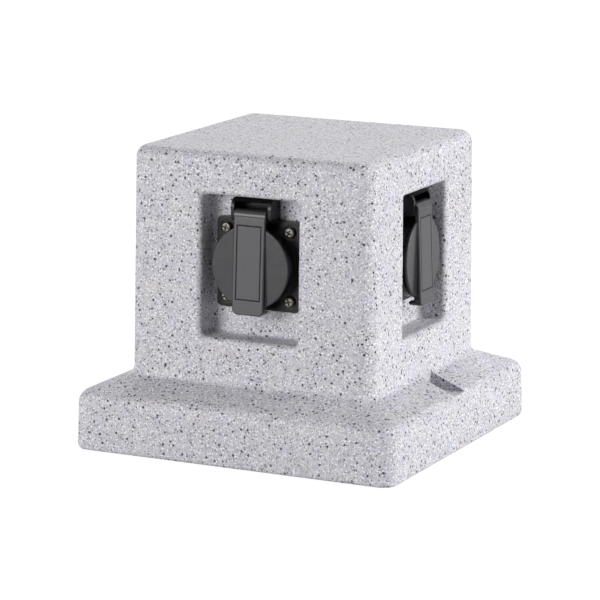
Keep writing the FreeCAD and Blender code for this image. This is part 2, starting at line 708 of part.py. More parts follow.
one_socket = {
    "frame": frame, "gasket": gasket, "lid": lid, "lid_seal": seal, "spring": spring,
    "hinge_pin": pin, "terminal_base": base, "pin_contacts": contacts, "earth_clip": clip,
}
pieces = [housing]
for side, angle in SIDES.items():
    for name, piece in one_socket.items():
        if angle:
            piece = repeat(piece, f"{side}_{name}", angle)
        piece.Label = f"{side}_{name}"
        pieces.append(piece)

# Flange screws: pan heads on the flange, shanks through it into the pocket floor.
# Clamp screws: a hexagonal head behind each pin contact.
flange_set, clamp_set = [], []
for across in ("-", ""):
    clamp = doc.addObject("Part::Prism", "clamp_screw")
    bind(clamp, Circumradius="clamp_screw_across / 2", Height="clamp_screw_high")
    seat_on(clamp, f"{rear_level} - base_depth - clamp_screw_high", f"{across}pin_spacing / 2")
    clamp_set.append(clamp)
    for up in ("-", ""):
        parts = []
        for name, sides, diameter, length, level in (
                ("head", HEAD, "head_dia", "head_high", flange_front),
                ("shank", SHANK, "shank_dia", "shank_length", f"{flange_front} - shank_length")):
            part = doc.addObject("Part::Prism", f"screw_{name}")
            part.Polygon = sides
            bind(part, Circumradius=f"{diameter} / 2", Height=length)
            seat_on(part, level, f"{across}screw_spacing / 2", f"{up}screw_spacing / 2")
            parts.append(part)
        flange_set.append(group("flange_screw", "Part::MultiFuse", parts))
for label, parts in (("flange_screws", flange_set), ("clamp_screws", clamp_set)):
    one_side = group(f"front_{label}", "Part::Compound", parts)
    sides = [repeat(one_side, f"{side}_{label}", angle) for side, angle in SIDES.items()]
    pieces.append(group(label, "Part::Compound", sides))

# Base plate: closes the room from below, with a moulded spout for the supply cable.
plate_level = "(skirt_level - seat_thick - plate_thick)"
plate_top = f"({plate_level} + plate_thick)"
base_plate = new_body("base_plate")
plate = new_sketch(base_plate, "plate_outline", "XY_Plane", plate_level)
draw_eased_box(plate, skirt_outer, f"-{skirt_outer}", skirt_outer, "plate_corner")
pad(base_plate, "plate", plate, "plate_thick")
spout = new_sketch(base_plate, "spout_outline", "XY_Plane", plate_level)
draw_polygon(spout, "0", "0", "spout_bore + 2 * spout_wall", MIDDLING)
pad(base_plate, "spout", spout, "spout_length", Reversed=True)
inlet = new_sketch(base_plate, "inlet_outline", "XY_Plane", plate_top)
draw_circle(inlet, "0", "0", "spout_bore")
cut(base_plate, "inlet", inlet, "plate_thick + spout_length + overcut")
for across in ("-", ""):
    for up in ("-", ""):
        prism(base_plate, "screw_hole", "Subtractive", HEAD, "plate_screw_hole", "plate_thick + 2 * overcut",
              f"{across}plate_screw_spacing / 2", f"{up}plate_screw_spacing / 2", f"{plate_level} - overcut")
pieces.append(base_plate)

# Base gasket: a flat rubber frame between the skirt and the plate.
base_gasket = new_body("base_gasket")
frame_outline = new_sketch(base_gasket, "frame_outline", "XY_Plane", plate_top)
draw_eased_box(frame_outline, skirt_outer, f"-{skirt_outer}", skirt_outer, "plate_corner")
draw_box(frame_outline, skirt_inner, f"-{skirt_inner}", skirt_inner)
pad(base_gasket, "frame", frame_outline, "seat_thick")
pieces.append(base_gasket)

# Base plate screws: heads under the plate, shanks up into the corner blocks.
plate_screws = []
for across in ("-", ""):
    for up in ("-", ""):
        parts = []
        for name, sides, diameter, length, level in (
                ("head", HEAD, "plate_head_dia", "plate_head_high", f"{plate_level} - plate_head_high"),
                ("shank", HEAD, "plate_screw_dia", "plate_screw_length", plate_level)):
            part = doc.addObject("Part::Prism", f"plate_screw_{name}")
            part.Polygon = sides
            bind(part, Circumradius=f"{diameter} / 2", Height=length,
                 Placement__Base__x=f"{across}plate_screw_spacing / 2",
                 Placement__Base__y=f"{up}plate_screw_spacing / 2", Placement__Base__z=level)
            parts.append(part)
        plate_screws.append(group("plate_screw", "Part::MultiFuse", parts))
pieces.append(group("plate_screws", "Part::Compound", plate_screws))

# Terminal strip: a moulded bar with humps, standing on the plate.
terminal_strip = new_body("terminal_strip")
humps = new_sketch(terminal_strip, "hump_outline", "XZ_Plane", "-strip_offset")
strip_top, strip_valley = f"{plate_top} + strip_high", f"{plate_top} + strip_high / 2"
outline = [("-strip_length / 2", plate_top), ("strip_length / 2", plate_top)]
for i in (1.5, 0.5, -0.5, -1.5):
    outline += [
        (f"({i} + 1 / 2) * strip_length / 4", strip_valley),
        (f"({i} + 1 / 3) * strip_length / 4", strip_top),
        (f"({i} - 1 / 3) * strip_length / 4", strip_top),
    ]
outline.append(("-strip_length / 2", strip_valley))
draw_outline(humps, outline)
pad(terminal_strip, "humps", humps, "strip_width", Midplane=True)
pieces.append(terminal_strip)

doc.recompute()
for thing in doc.Objects:
    if "Invalid" in thing.State or "Error" in thing.State:
        raise ValueError(f"{thing.Label} failed")
for piece in pieces:
    if piece.Shape.isNull() or not piece.Shape.isValid():
        raise ValueError(f"{piece.Label} has no sound shape")
os.makedirs("parts", exist_ok=True)
for piece in pieces:
    piece.Shape.exportStep(f"parts/{piece.Label}.step")
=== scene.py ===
import bpy
import bmesh
import json
import math
from mathutils import Matrix, Vector


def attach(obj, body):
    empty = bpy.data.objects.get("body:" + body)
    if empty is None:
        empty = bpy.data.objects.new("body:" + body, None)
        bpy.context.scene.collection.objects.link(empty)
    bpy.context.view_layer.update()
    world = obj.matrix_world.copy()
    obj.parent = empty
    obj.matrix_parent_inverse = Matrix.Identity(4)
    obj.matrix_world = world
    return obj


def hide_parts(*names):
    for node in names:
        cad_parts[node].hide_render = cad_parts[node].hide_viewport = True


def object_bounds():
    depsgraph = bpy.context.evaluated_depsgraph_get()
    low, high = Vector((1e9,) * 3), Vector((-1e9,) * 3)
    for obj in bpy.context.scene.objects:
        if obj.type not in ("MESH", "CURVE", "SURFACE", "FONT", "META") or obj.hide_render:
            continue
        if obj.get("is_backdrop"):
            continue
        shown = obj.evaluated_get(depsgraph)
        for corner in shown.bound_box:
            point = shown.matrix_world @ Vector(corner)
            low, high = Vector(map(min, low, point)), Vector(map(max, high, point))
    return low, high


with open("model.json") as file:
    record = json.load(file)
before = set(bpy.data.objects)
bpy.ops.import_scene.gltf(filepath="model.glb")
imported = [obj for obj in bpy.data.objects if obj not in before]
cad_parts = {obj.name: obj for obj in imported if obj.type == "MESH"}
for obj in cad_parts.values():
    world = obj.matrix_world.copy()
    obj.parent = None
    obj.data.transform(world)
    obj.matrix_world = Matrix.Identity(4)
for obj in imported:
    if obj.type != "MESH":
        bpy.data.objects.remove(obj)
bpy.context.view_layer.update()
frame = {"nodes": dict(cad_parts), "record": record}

# Housing: one thick moulding in granite-effect plastic, open below. A flared foot
# rises to a nearly upright body with a pocket in each side and, in two sides of the
# foot, a recess for a ground screw. Lengths are in millimetres.
MM = 0.001
FLOOR_REACH = 57.1
SOCKET_HEIGHT = 106.5
SIDES = {"front": 0, "right": 90, "back": 180, "left": 270}


def at(across, out, up):
    return Vector((across, -(FLOOR_REACH + out), SOCKET_HEIGHT + up)) * MM


def linear(code):
    """A hex sRGB colour as linear red, green, blue and alpha."""
    parts = [int(code[i:i + 2], 16) / 255 for i in (0, 2, 4)]
    return (*[c / 12.92 if c <= 0.04045 else ((c + 0.055) / 1.055) ** 2.4 for c in parts], 1.0)


def new_material(name, colour, roughness, metallic=0.0):
    material = bpy.data.materials.new(name)
    material.use_nodes = True
    shader = material.node_tree.nodes["Principled BSDF"]
    shader.inputs["Base Color"].default_value = linear(colour)
    shader.inputs["Roughness"].default_value = roughness
    shader.inputs["Metallic"].default_value = metallic
    return material, material.node_tree, shader


def add_node(tree, kind, settings=None, **inputs):
    """Add a node; each input, by name or as in0, in1, is a value or the socket that feeds it."""
    made = tree.nodes.new(kind)
    for name, setting in (settings or {}).items():
        setattr(made, name, setting)
    for name, given in inputs.items():
        key = int(name[2:]) if name[2:].isdigit() else name
        if isinstance(given, bpy.types.NodeSocket):
            tree.links.new(given, made.inputs[key])
        else:
            made.inputs[key].default_value = given
    return made


def ramp(tree, factor, *stops):
    """A colour ramp through (position, hex colour or grey level) stops."""
    made = add_node(tree, "ShaderNodeValToRGB", Fac=factor)
    elements = made.color_ramp.elements
    while len(elements) < len(stops):
        elements.new(0.5)
    for element, (position, colour) in zip(elements, stops):
        element.position = position
        element.color = linear(colour) if isinstance(colour, str) else (*[colour] * 3, 1.0)
    return made.outputs["Color"]


def mix_colour(tree, factor, below, above):
    return add_node(tree, "ShaderNodeMix", {"data_type": "RGBA"},
                    in0=factor, in6=below, in7=above).outputs[2]


def per_metre(size):
    """A pattern's scale that makes its grain this many millimetres wide."""
    return 1 / (size * MM)


def noise(tree, size, detail, **more):
    """Noise in the piece's own space, its grain this many millimetres wide."""
    place = add_node(tree, "ShaderNodeTexCoord").outputs["Object"]
    return add_node(tree, "ShaderNodeTexNoise", Vector=place, Scale=per_metre(size),
                    Detail=detail, **more)


def vary(tree, shader, name, pattern, low, high):
    """Let a shader's input swing between two hex colours or two values with a pattern."""
    stops = (0.3, low), (0.7, high)
    tree.links.new(ramp(tree, pattern.outputs["Fac"], *stops), shader.inputs[name])


def bump(tree, shader, pattern, depth):
    """Raise the surface by a pattern (0 to 1) times depth in millimetres."""
    made = add_node(tree, "ShaderNodeBump", Height=pattern.outputs["Fac"], Distance=depth * MM)
    tree.links.new(made.outputs["Normal"], shader.inputs["Normal"])


def dress(slot, finish):
    """Give the CAD pieces of one material slot their finish."""
    for piece in frame["record"]["subparts"]:
        if piece["material_slot"] == slot:
            materials = frame["nodes"][piece["node"]].data.materials
            materials.clear()
            materials.append(finish)


# Granite-effect plastic with a light satin, as it leaves the mould: pale cool grey
# mottled about 1 mm wide, crowded white flecks, grey grains and two sizes of black.
granite, tree, shader = new_material("granite_effect_plastic", "C9C9D1", 0.6)
place = add_node(tree, "ShaderNodeTexCoord").outputs["Object"]
warp = noise(tree, 0.9, 2.0)
bent = add_node(tree, "ShaderNodeVectorMath", {"operation": "MULTIPLY_ADD"},
                in0=warp.outputs["Color"], in1=(1.1 * MM,) * 3, in2=place).outputs[0]
CLUMPING = 1.6


def specks(seed, spacing, radius, share):
    """A mask of rounded specks, sizes in millimetres. About a share is kept, in clumps."""
    moved = add_node(tree, "ShaderNodeVectorMath", {"operation": "ADD"},
                     in0=bent, in1=(seed,) * 3).outputs[0]
    cells = add_node(tree, "ShaderNodeTexVoronoi", Vector=moved, Scale=per_metre(spacing))
    pick = add_node(tree, "ShaderNodeSeparateColor", Color=cells.outputs["Color"]).outputs["Red"]
    edge = radius / spacing
    inside = ramp(tree, cells.outputs["Distance"], (edge * 0.75, 1.0), (edge * 1.15, 0.0))
    clump = add_node(tree, "ShaderNodeTexNoise", Vector=moved, Scale=per_metre(4 * spacing),
                     Detail=1.0)
    spread = add_node(tree, "ShaderNodeMath", {"operation": "MULTIPLY_ADD"},
                      in0=clump.outputs["Fac"], in1=CLUMPING, in2=pick).outputs[0]
    kept = add_node(tree, "ShaderNodeMath", {"operation": "LESS_THAN"},
                    in0=spread, in1=share + CLUMPING / 2).outputs[0]
    return add_node(tree, "ShaderNodeMath", {"operation": "MULTIPLY"},
                    in0=inside, in1=kept).outputs[0]


cloud = noise(tree, 1.1, 6.0, Roughness=0.7)
blotch = noise(tree, 14, 2.0)
mottle = ramp(tree, cloud.outputs["Fac"], (0.32, "9D9BA7"), (0.5, "CBC9D1"), (0.66, "E5E3E8"))
tint = ramp(tree, blotch.outputs["Fac"], (0.38, "C8C4BE"), (0.62, "BDBFD3"))
colour = mix_colour(tree, 0.24, mottle, tint)
# Seed, spacing, radius, share and colour of the grey, white, dark and black specks.
for *grains, hue in ((0.31, 1.5, 0.5, 0.6, "898894"), (0.17, 1.35, 0.47, 0.68, "F7F7F8"),
                     (0.53, 2.15, 0.46, 0.6, "3A3B43"), (0.71, 3.85, 0.75, 0.86, "0E0E12")):
    colour = mix_colour(tree, specks(*grains), colour, linear(hue))
tree.links.new(colour, shader.inputs["Base Color"])
bump(tree, shader, cloud, 0.04)
dress("granite", granite)


def settle(made, name):
    bpy.ops.object.select_all(action="DESELECT")
    made.select_set(True)
    bpy.context.view_layer.objects.active = made
    bpy.ops.object.transform_apply(location=True, rotation=True, scale=True)
    made.name = name
    made.data.name = name
    return made


def block(name, low, high):
    """A box between two corners given as (across, out, up) in millimetres."""
    a, b = at(*low), at(*high)
    bpy.ops.mesh.primitive_cube_add(size=1, location=(a + b) / 2)
    made = bpy.context.object
    made.scale = [abs(v) for v in (b - a)]
    return settle(made, name)


def rod(name, centre, radius, length, along="out", sides=96):
    """A cylinder centred at (across, out, up)."""
    turns = {"out": (math.pi / 2, 0, 0), "across": (0, math.pi / 2, 0), "up": (0, 0, 0)}
    bpy.ops.mesh.primitive_cylinder_add(vertices=sides, radius=radius * MM, depth=length * MM,
                                        location=at(*centre), rotation=turns[along])
    return settle(bpy.context.object, name)


def turn_to(made, place, angle, axis):
    """Turn a piece about the middle of the pocket's floor and carry that point to place."""
    made.data.transform(Matrix.Translation(place) @ Matrix.Rotation(angle, 4, axis)
                        @ Matrix.Translation(-at(0, 0, 0)))


def octagon(name, out, half, length):
    """An eight-sided bar on the socket's axis, twice half wide across its flats."""
    made = rod(name, (0, out, 0), half / math.cos(math.pi / 8), length, sides=8)
    turn_to(made, at(0, 0, 0), math.pi / 8, "Y")
    return made


def tower(name, *squares):
    """A square column through squares given as (width, level) in millimetres, from below."""
    bpy.ops.mesh.primitive_plane_add(size=squares[0][0] * MM, location=(0, 0, squares[0][1] * MM))
    made = settle(bpy.context.object, name)
    bpy.ops.object.mode_set(mode="EDIT")
    bpy.ops.mesh.select_all(action="SELECT")
    for (width, level), (wider, higher) in zip(squares, squares[1:]):
        bpy.ops.mesh.extrude_region_move(
            TRANSFORM_OT_translate={"value": (0, 0, (higher - level) * MM)})
        bpy.ops.transform.resize(value=(wider / width, wider / width, 1),
                                 center_override=(0, 0, higher * MM))
    bpy.ops.mesh.select_all(action="SELECT")
    bpy.ops.mesh.normals_make_consistent(inside=False)
    bpy.ops.object.mode_set(mode="OBJECT")
    return made


def boolean(made, tool, operation):
    modifier = made.modifiers.new(operation.lower(), "BOOLEAN")
    modifier.operation = operation
    modifier.solver = "EXACT"
    modifier.object = tool
    bpy.context.view_layer.objects.active = made
    bpy.ops.object.modifier_apply(modifier=modifier.name)
    bpy.data.objects.remove(tool)


def cut(made, *tools):
    for tool in tools:
        boolean(made, tool, "DIFFERENCE")


def fuse(made, *tools):
    for tool in tools:
        boolean(made, tool, "UNION")


def round_edges(made, width, segments, test):
    """Bevel the edges whose two ends' (across, out, up) both pass the test."""
    bpy.ops.object.select_all(action="DESELECT")
    made.select_set(True)
    bpy.context.view_layer.objects.active = made
    bpy.ops.object.mode_set(mode="EDIT")
    bpy.ops.mesh.select_all(action="DESELECT")
    bpy.ops.mesh.select_mode(type="EDGE")
    mesh = bmesh.from_edit_mesh(made.data)
    for edge in mesh.edges:
        spots = []
        for corner in edge.verts:
            x, y, z = corner.co / MM
            spots.append((x, -y - FLOOR_REACH, z - SOCKET_HEIGHT))
        edge.select = test(*spots)
    bmesh.update_edit_mesh(made.data)
    bpy.ops.mesh.bevel(offset=width * MM, segments=segments, affect="EDGES", clamp_overlap=True)
    bpy.ops.object.mode_set(mode="OBJECT")


def move_corners(made, out, up, test):
    """Move the corners whose (across, out, up) pass the test."""
    bpy.context.view_layer.objects.active = made
    bpy.ops.object.mode_set(mode="EDIT")
    bpy.ops.mesh.select_mode(type="VERT")
    bpy.ops.mesh.select_all(action="DESELECT")
    mesh = bmesh.from_edit_mesh(made.data)
    for corner in mesh.verts:
        x, y, z = corner.co / MM
        corner.select = test((x, -y - FLOOR_REACH, z - SOCKET_HEIGHT))
    bmesh.update_edit_mesh(made.data)
    bpy.ops.transform.translate(value=(0, -out * MM, up * MM))
    bpy.ops.object.mode_set(mode="OBJECT")


def at_level(level):
    """A test for edges that lie at this height above the ground."""
    up = level - SOCKET_HEIGHT
    return lambda a, b: abs(a[2] - up) < 0.01 and abs(b[2] - up) < 0.01


def across_out_edge(a, b):
    """An edge that runs straight out of the pocket."""
    return abs(a[0] - b[0]) < 0.01 and abs(a[2] - b[2]) < 0.01


def turned(made, angle):
    """A copy of a piece or tool, turned about the block's upright axis."""
    copy = made.copy()
    copy.data = made.data.copy()
    copy.data.transform(Matrix.Rotation(math.radians(angle), 4, "Z"))
    bpy.context.collection.objects.link(copy)
    return copy


def smooth(made, angle=35):
    """Shade round faces smoothly, with flat ones left even up to their edges."""
    bpy.ops.object.select_all(action="DESELECT")
    made.select_set(True)
    bpy.context.view_layer.objects.active = made
    bpy.ops.object.shade_smooth_by_angle(angle=math.radians(angle))
    modifier = made.modifiers.new("even_faces", "WEIGHTED_NORMAL")
    modifier.keep_sharp = True
    bpy.ops.object.modifier_apply(modifier=modifier.name)


FOOT, SHOULDER, WAIST, TOP = (192.6, 0), (191.2, 31.5), (146.3, 41), (144, 168.2)
part = tower("housing_shell", FOOT, SHOULDER, WAIST, TOP)
round_edges(part, 8, 8, lambda a, b: abs(a[2] - b[2]) > 5)
for (_, level), radius, segments in ((FOOT, 3, 3), (SHOULDER, 4.6, 5), (WAIST, 3.6, 5),
                                     (TOP, 6.5, 7)):
    round_edges(part, radius, segments, at_level(level))
cut(part, tower("room", (183.6, -1), (182.2, 28.52), (137.3, 38.02), (135, 163.7)))
skirt = tower("skirt", (143.7, 27), (143.7, 39.5))
cut(skirt, tower("skirt_room", (137.3, 20), (137.3, 50)))
fuse(part, skirt)
corner_block = block("corner_block", (56.65, -0.45, -81.5), (68.65, 11.55, -61.5))
cut(corner_block, rod("pilot", (62, 4.9, -76), 1.8, 13, "up", sides=24))
for angle in SIDES.values():
    fuse(part, turned(corner_block, angle))
seat = block("seat", (-11, 12.9, -78.5), (11, 36.2, -66.4))
move_corners(seat, 0, -9.9, lambda a: a[1] > 36 and a[2] > -70)
FIXING = (0, 25.9, -92)
column = rod("column", FIXING, 6.5, 29, "up", sides=48)
recess = block("recess", (-7.5, 16.4, -75), (7.5, 53, -55))
round_edges(recess, 1.5, 4, lambda a, b: abs(a[2] - b[2]) > 5 and a[1] < 17)
fixing_hole = rod("fixing_hole", FIXING, 3, 40, "up", sides=48)
for angle in (90, 270):
    fuse(part, turned(seat, angle), turned(column, angle))
    cut(part, turned(recess, angle), turned(fixing_hole, angle))

# Each pocket: a box inside the wall, hollowed with rounded floor edges and a mouth
# that curves out into the body's face, which leans back by a small draft.
HALF_POCKET, POCKET_LOW, POCKET_HIGH, MOUTH = 29.0, -40.5, 38.1, 12.4
LIP, DRAFT = 3.0, math.radians(0.518)
case = block("case", (-33, -4, -44.5), (33, 13.5, 42.1))
hollow = block("hollow", (-HALF_POCKET, 0, POCKET_LOW), (HALF_POCKET, MOUTH, POCKET_HIGH))
round_edges(hollow, 2.5, 5, across_out_edge)
round_edges(hollow, 3, 5, lambda a, b: a[1] < 0.01 and b[1] < 0.01)
bpy.ops.object.mode_set(mode="EDIT")
bpy.ops.mesh.select_all(action="DESELECT")
bpy.ops.mesh.select_mode(type="FACE")
mesh = bmesh.from_edit_mesh(hollow.data)
mesh.normal_update()
for face in mesh.faces:
    face.select = face.normal.y < -0.99
bmesh.update_edit_mesh(hollow.data)
middle_up = (POCKET_LOW + POCKET_HIGH) / 2
high = POCKET_HIGH - POCKET_LOW
bpy.ops.transform.rotate(value=DRAFT, orient_axis="X", center_override=at(0, MOUTH, middle_up))
grow_before, out_before = 0.0, 0.0
for angle in (12, 24, 36, 48, 60, 70, 78):
    grow = LIP * (1 - math.cos(math.radians(angle)))
    out = LIP * math.sin(math.radians(angle))
    bpy.ops.mesh.extrude_region_move(
        TRANSFORM_OT_translate={"value": (0, -(out - out_before) * MM, 0)})
    wider = (HALF_POCKET + grow) / (HALF_POCKET + grow_before)
    higher = (high + 2 * grow) / (high + 2 * grow_before)
    bpy.ops.transform.resize(value=(wider, 1, higher),
                             center_override=at(0, MOUTH + out, middle_up))
    grow_before, out_before = grow, out
bpy.ops.mesh.extrude_region_move(TRANSFORM_OT_translate={"value": (0, -2 * MM, 0)})
bpy.ops.transform.resize(value=(1.2, 1, 1.16), center_override=at(0, 17, middle_up))
bpy.ops.object.mode_set(mode="OBJECT")
rear_hole = octagon("rear_hole", -3, 21.6, 8)
for angle in SIDES.values():
    fuse(part, turned(case, angle))
for angle in SIDES.values():
    cut(part, turned(hollow, angle), turned(rear_hole, angle))
for tool in (corner_block, seat, column, recess, fixing_hole, case, hollow, rear_hole):
    bpy.data.objects.remove(tool)
smooth(part, 30)
part.data.materials.append(granite)
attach(part, "block")
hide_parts("housing")

# Gaskets: black rubber cut to thin frames, squeezed between each flange and its
# pocket's floor, and between the skirt and the base plate. The cut skin is dull.
rubber, tree, shader = new_material("black_rubber", "1B1B1D", 0.75)
skin = noise(tree, 0.5, 3.0)
vary(tree, shader, "Base Color", skin, "161618", "232325")
bump(tree, shader, skin, 0.02)
dress("seal_rubber", rubber)


def put_on_sides(made, finish, body, stands_for):
    """Copy a front piece to the other sides; each copy stands for that side's CAD node."""
    if not made.data.materials:
        made.data.materials.append(finish)
    base = made.name
    for side, angle in SIDES.items():
        copy = turned(made, angle) if angle else made
        copy.name = base.replace("front", side)
        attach(copy, body.replace("front", side))
        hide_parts(*[node.replace("front", side) for node in stands_for])


SCREW_SPOTS = [(x, z) for x in (-19, 19) for z in (-19, 19)]
part = block("front_flange_gasket", (-24.9, 0, -24.9), (24.9, 1, 24.9))
round_edges(part, 3, 6, across_out_edge)
cut(part, octagon("hole", 0, 21.6, 8))
for x, z in SCREW_SPOTS:
    cut(part, rod("hole", (x, 0, z), 1.8, 6, sides=24))
smooth(part)
put_on_sides(part, rubber, "block", ["front_gasket"])

# Socket frame: a square flange, a round collar around the well, an octagonal back
# and the hood over the hinge, in one. Injection-moulded black polyamide: the finely
# eroded mould leaves it satin, so its edges catch thin lines of light.
socket_black, tree, shader = new_material("satin_black_plastic", "0D0D0E", 0.33)
erosion = noise(tree, 0.25, 3.0)
vary(tree, shader, "Roughness", erosion, 0.22, 0.32)
bump(tree, shader, erosion, 0.012)
shader.inputs["Specular IOR Level"].default_value = 0.26
dress("socket_black", socket_black)


def clean(made, flatten=False):
    """Join the corners and drop the slivers that cuts and bevels leave along their seams."""
    bpy.context.view_layer.objects.active = made
    bpy.ops.object.mode_set(mode="EDIT")
    bpy.ops.mesh.select_all(action="SELECT")
    bpy.ops.mesh.remove_doubles(threshold=0.02 * MM)
    if flatten:
        bpy.ops.mesh.dissolve_limited(angle_limit=math.radians(0.3))
    bpy.ops.mesh.dissolve_degenerate(threshold=0.01 * MM)
    bpy.ops.mesh.select_all(action="SELECT")
    bpy.ops.mesh.delete_loose()
    bpy.ops.object.mode_set(mode="OBJECT")


def soften(made, width, segments=2):
    """Break every sharp edge of a finished piece and smooth its round faces."""
    clean(made, flatten=True)
    modifier = made.modifiers.new("soft_edges", "BEVEL")
    modifier.width = width * MM
    modifier.segments = segments
    modifier.limit_method = "ANGLE"
    modifier.angle_limit = math.radians(35)
    modifier.use_clamp_overlap = False
    bpy.context.view_layer.objects.active = made
    bpy.ops.object.modifier_apply(modifier=modifier.name)
    clean(made)
    smooth(made)


FLANGE_FACE = 3.5
part = block("front_socket_frame", (-25, 1, -25), (25, FLANGE_FACE, 25))
round_edges(part, 3, 6, across_out_edge)
for x, z in SCREW_SPOTS:
    cut(part, rod("counterbore", (x, 3.4, z), 3.9, 1.2, sides=40),
        rod("hole", (x, 2, z), 1.8, 6, sides=24))
fuse(part, rod("collar", (0, 6.15, 0), 22.3, 10.3, sides=128))
fuse(part, octagon("back", -3.1, 21.3, 10.2))
hood = block("hood", (-12, 1, 24.3), (12, 13.2, 37))
round_edges(hood, 4, 8, lambda a, b: min(a[1], b[1]) > 13 and max(a[2], b[2]) < 25)
round_edges(hood, 5, 10, lambda a, b: min(a[1], b[1]) > 13 and min(a[2], b[2]) > 36.9)
cut(hood, block("gap", (-10, FLANGE_FACE, 20), (10, 20, 35.3)))
round_edges(hood, 0.4, 3, lambda a, b: (
    max(a[1], b[1]) > 9.5 and min(abs(a[0]), abs(b[0])) > 11.9
    or min(a[1], b[1]) > 12.5 and abs(a[0] - b[0]) > 10))
fuse(part, hood)
cut(part, rod("well", (0, 3, 0), 19.5, 18.4, sides=128))
for x in (-9.5, 9.5):
    cut(part, rod("pin_hole", (x, -7, 0), 2.7, 6, sides=40))
for z in (-17.6, 17.6):
    cut(part, block("slot", (-4.7, -10, z - 0.75), (4.7, -5, z + 0.75)))
soften(part, 0.25)
put_on_sides(part, socket_black, "block", ["front_frame"])

# Lid: a thin disc under a raised strap, whose upper end is the hinge knuckle and
# whose lower end turns in as a finger tab; a sunk line frames the strap's face.
# Moulded dark grey polyamide, satin, with a faint haze.
lid_black, tree, shader = new_material("satin_dark_grey_plastic", "2E2C2F", 0.36)
erosion = noise(tree, 0.3, 3.0)
vary(tree, shader, "Base Color", noise(tree, 9.0, 2.0), "29272A", "333134")
vary(tree, shader, "Roughness", erosion, 0.24, 0.35)
bump(tree, shader, erosion, 0.01)
shader.inputs["Specular IOR Level"].default_value = 0.42
dress("lid_black", lid_black)

# The field inside that line is etched coarser, which makes it duller and paler.
lid_field, tree, shader = new_material("etched_dark_grey_plastic", "464447", 0.55)
etching = noise(tree, 0.35, 4.0)
vary(tree, shader, "Base Color", etching, "3F3D40", "4D4B4E")
bump(tree, shader, etching, 0.02)

HINGE_OUT, HINGE_UP, STRAP_LOW, LEAN = 11.3, 28, -26, 2.4
HINGE = (0, HINGE_OUT, HINGE_UP)
part = block("front_socket_lid", (-9.5, 9.5, STRAP_LOW), (9.5, 14.8, HINGE_UP))
move_corners(part, LEAN, 0, lambda a: a[1] > 14 and a[2] < 0)
round_edges(part, 3.2, 8, lambda a, b: across_out_edge(a, b) and a[2] < -25.9)
cut(part, block("back_room", (-12, 5, -24), (12, 12.9, 40)))
round_edges(part, 0.8, 4, lambda a, b: min(a[1], b[1]) > 14.7)
knuckle = rod("knuckle", HINGE, 3.5, 19, "across", sides=64)
for piece, room_top in ((part, 30.5), (knuckle, 30.45)):
    cut(piece, block("spring_room", (-4.5, 5, 23), (4.5, 13.75, room_top)),
        block("spring_top", (-4.5, 5, 29), (4.5, 10.6, 34)))
fuse(part, knuckle)
disc = rod("disc", (0, 13.35, 0), 23, 1.7, sides=160)
round_edges(disc, 0.7, 5, lambda a, b: a[1] > 14.1 and b[1] > 14.1)
fuse(part, disc)
cut(part, rod("bore", HINGE, 1.3, 22, "across", sides=32))
FIELD_UP = 2.6
frame_line = block("frame_line", (-7.4, -0.35, -20.4), (7.4, 0.35, 20.4))
cut(frame_line, block("frame_middle", (-7, -1, -20), (7, 1, 20)))
turn_to(frame_line, at(0, 15.88, FIELD_UP), -math.atan2(LEAN, HINGE_UP - STRAP_LOW), "X")
cut(part, frame_line)
soften(part, 0.3, 3)
part.data.materials.append(lid_black)
part.data.materials.append(lid_field)
for face in part.data.polygons:
    x, y, z = face.center / MM
    on_front = face.normal.y < -0.99 and y < -FLOOR_REACH - 15
    if on_front and abs(x) < 6.9 and abs(z - SOCKET_HEIGHT - FIELD_UP) < 19.9:
        face.material_index = 1
put_on_sides(part, lid_black, "front_lid", ["front_lid"])

# Lid seal: a flat disc of the same black rubber, bonded behind the lid just clear of
# the collar's rim.
part = rod("front_seal_disc", (0, 12.0, 0), 21.5, 1.0, sides=128)
soften(part, 0.2)
put_on_sides(part, rubber, "front_lid", ["front_lid_seal"])

# Screws: zinc-plated pan heads with a cross recess, four in each flange and four
# under the base plate. The plating is blotched in gloss and dulled by handling.
zinc, tree, shader = new_material("bright_zinc_plate", "6E6963", 0.45, 1.0)
blotch = noise(tree, 1.2, 4.0)
vary(tree, shader, "Roughness", blotch, 0.34, 0.55)
vary(tree, shader, "Base Color", blotch, "58534E", "827C76")
dress("plated_steel", zinc)


def pan_screw(name, place, radius, high, shank, length, turn, tip=0):
    """A screw whose head stands out from place.

    It is turned about its own axis by turn and about the across axis by tip, in degrees.
    """
    made = rod(name, (0, high / 2, 0), radius, high, sides=48)
    round_edges(made, 0.58 * high, 6, lambda a, b: a[1] > high - 0.05 and b[1] > high - 0.05)
    wide, deep, thick = 0.65 * radius, 0.68 * high, 0.145 * radius
    for angle in (turn, turn + 90):
        arm = block("recess", (-wide, -deep, -thick), (wide, deep, thick))
        round_edges(arm, 0.13 * radius, 1, lambda a, b: a[1] < 0 and b[1] < 0)
        turn_to(arm, at(0, high, 0), math.radians(angle), "Y")
        cut(made, arm)
    fuse(made, rod("shank", (0, 0.1 - length / 2, 0), shank, length + 0.2, sides=20))
    turn_to(made, place, math.radians(tip), "X")
    smooth(made)
    return made


for x, z in SCREW_SPOTS:
    part = pan_screw(f"front_flange_screw_{'l' if x < 0 else 'r'}{'d' if z < 0 else 'u'}",
                     at(x, FLANGE_FACE, z), 2.9, 1.9, 1.45, 8, 0.35 * x + z)
    put_on_sides(part, zinc, "block", ["flange_screws"])
for x, y in ((-62, -62), (-62, 62), (62, -62), (62, 62)):
    part = pan_screw(f"base_plate_screw_{'l' if x < 0 else 'r'}{'f' if y < 0 else 'b'}",
                     Vector((x, y, 22)) * MM, 3.5, 2.4, 1.75, 14, 0.4 * x + y, 90)
    part.data.materials.append(zinc)
    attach(part, "block")
    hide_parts("plate_screws")

